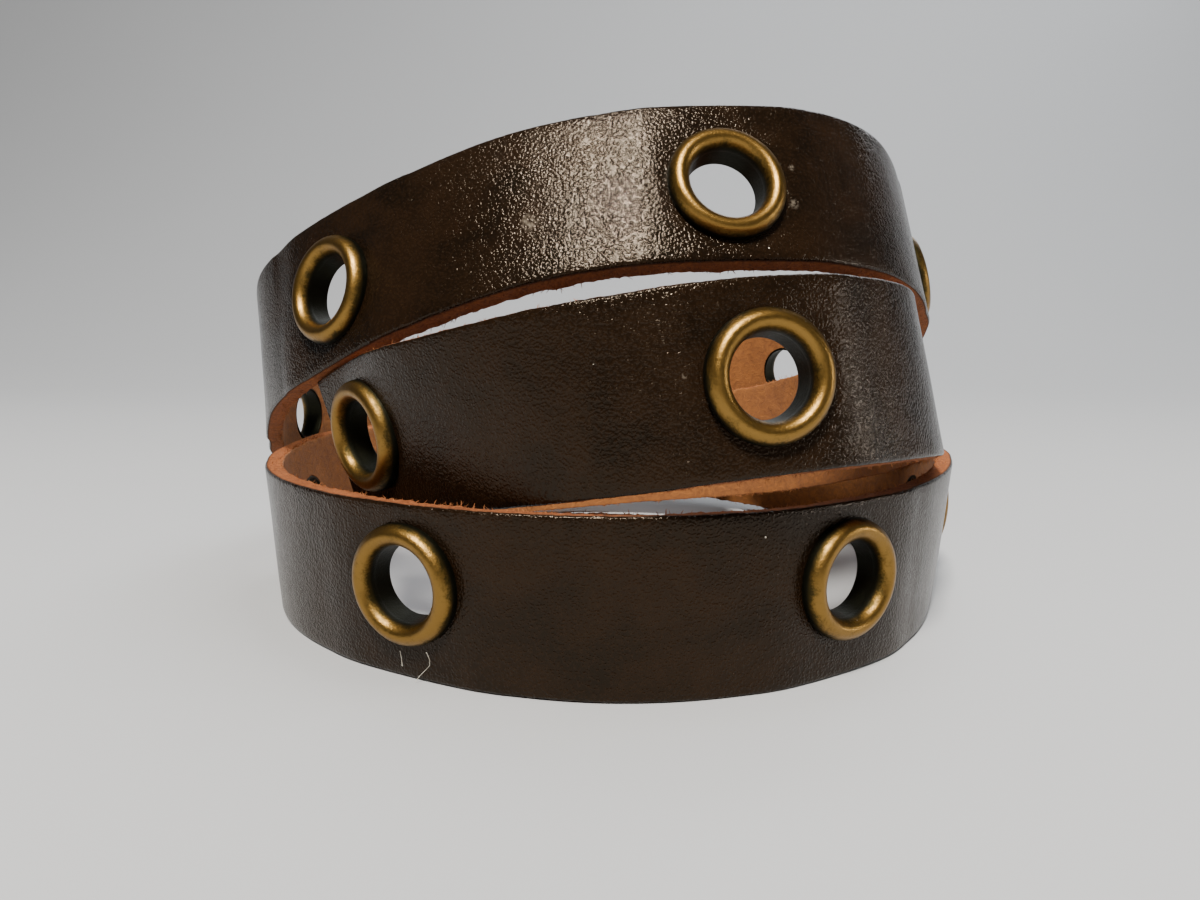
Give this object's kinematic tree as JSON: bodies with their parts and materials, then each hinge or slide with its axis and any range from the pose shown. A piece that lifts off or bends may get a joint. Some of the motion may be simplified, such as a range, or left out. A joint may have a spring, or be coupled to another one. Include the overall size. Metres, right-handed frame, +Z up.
{
  "type": "wrap bracelet",
  "caption": "Wrap bracelet: a long narrow leather strap set all along with metal eyelets, coiled in turns around an open hollow for the wrist and closed by a post at its outer end",
  "frame": {"origin": "middle of the bounding box's foot, on the surface that the lowest turn stands on", "axes": "+Z up along the coil's axis, -Y towards the front, +X to the right seen from the front"},
  "size_m": [0.07, 0.076, 0.041],
  "materials": {
    "leather": "semi-gloss grain side, raw orange-brown flesh side and cut edges",
    "eyelet_brass": "antiqued, polished on the crest and dark in the throat",
    "post_brass": "antiqued"
  },
  "bodies": {
    "root": {"strap": "leather", "eyelet_01": "eyelet_brass", "eyelet_02": "eyelet_brass", "eyelet_03": "eyelet_brass", "eyelet_04": "eyelet_brass", "eyelet_05": "eyelet_brass", "eyelet_06": "eyelet_brass", "eyelet_07": "eyelet_brass", "eyelet_08": "eyelet_brass", "eyelet_09": "eyelet_brass", "eyelet_10": "eyelet_brass", "eyelet_11": "eyelet_brass", "eyelet_12": "eyelet_brass", "eyelet_13": "eyelet_brass", "eyelet_14": "eyelet_brass", "eyelet_15": "eyelet_brass", "eyelet_16": "eyelet_brass", "closing_post": "post_brass"}
  },
  "joints": []
}
